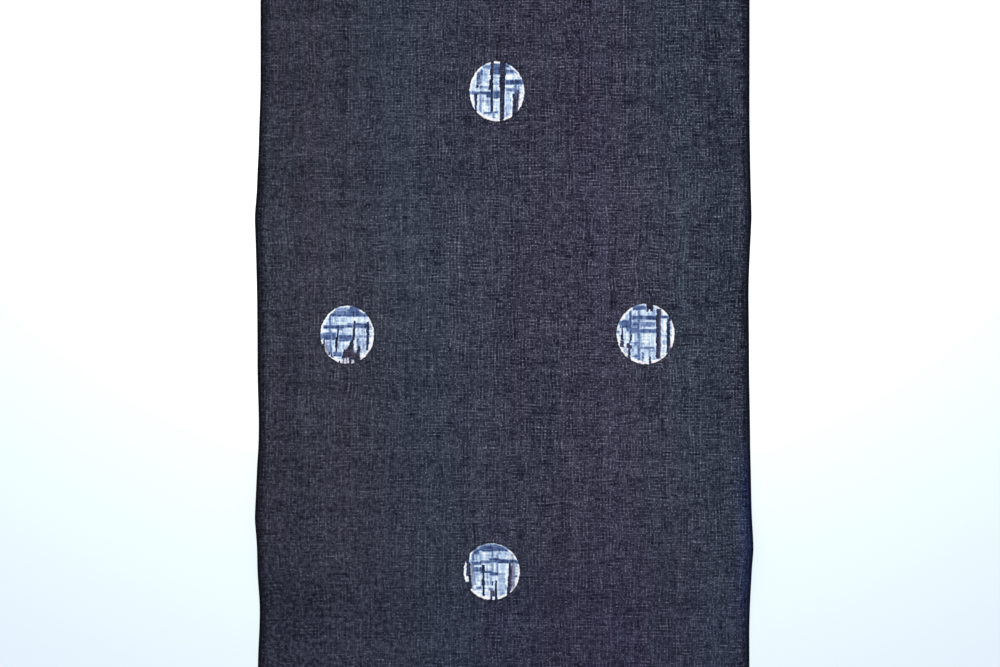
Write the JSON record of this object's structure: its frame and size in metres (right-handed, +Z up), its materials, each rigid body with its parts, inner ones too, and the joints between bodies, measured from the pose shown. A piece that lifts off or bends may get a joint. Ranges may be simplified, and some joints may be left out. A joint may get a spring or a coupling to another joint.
{
  "type": "shibori dyed cloth",
  "caption": "Length of dark indigo plain-woven cotton with white resist-dyed dots, lying flat, with soft fold ridges across it.",
  "frame": {"origin": "on the surface that the cloth lies on, under the middle of its outline", "axes": "+Y along the cloth's length, towards the higher of the picture's two ends, +X across its width, +Z up from the surface"},
  "size_m": [0.3821, 0.72, 0.0182],
  "materials": {
    "indigo_cotton": "matte"
  },
  "bodies": {
    "root": {"cloth": "indigo_cotton"}
  },
  "joints": []
}
